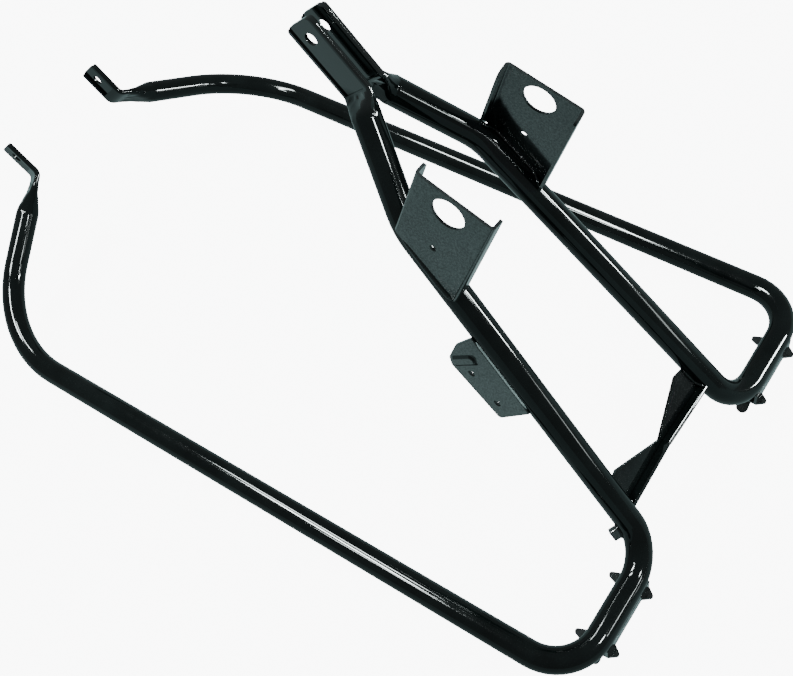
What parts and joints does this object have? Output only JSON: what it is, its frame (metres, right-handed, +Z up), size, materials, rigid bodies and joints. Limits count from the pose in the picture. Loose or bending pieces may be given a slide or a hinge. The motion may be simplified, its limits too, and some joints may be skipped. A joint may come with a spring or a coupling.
{
  "type": "pannier frame",
  "caption": "Welded tube pannier frame for a small motorbike: mirrored hoops with crushed, drilled ends, indicator brackets, strap cleats and a cross brace.",
  "frame": {"origin": "on the mid plane, on the axis of the top cross bolt", "axes": "+X to the bike's right along the top bolt, +Y forward along the rails, +Z up with the rails level"},
  "size_m": [0.378, 0.6542, 0.3593],
  "materials": {
    "tube_paint": "gloss black paint on steel tube",
    "plate_paint": "black paint on pressed steel, a little greyer than the tubes"
  },
  "bodies": {
    "root": {"left_hoop_tube": "tube_paint", "right_hoop_tube": "tube_paint", "left_indicator_bracket": "plate_paint", "right_indicator_bracket": "plate_paint", "lug_plate": "plate_paint", "cross_brace": "plate_paint", "left_strap_cleat": "plate_paint", "right_strap_cleat": "plate_paint", "left_stop_lug": "plate_paint", "right_stop_lug": "plate_paint"}
  },
  "joints": []
}
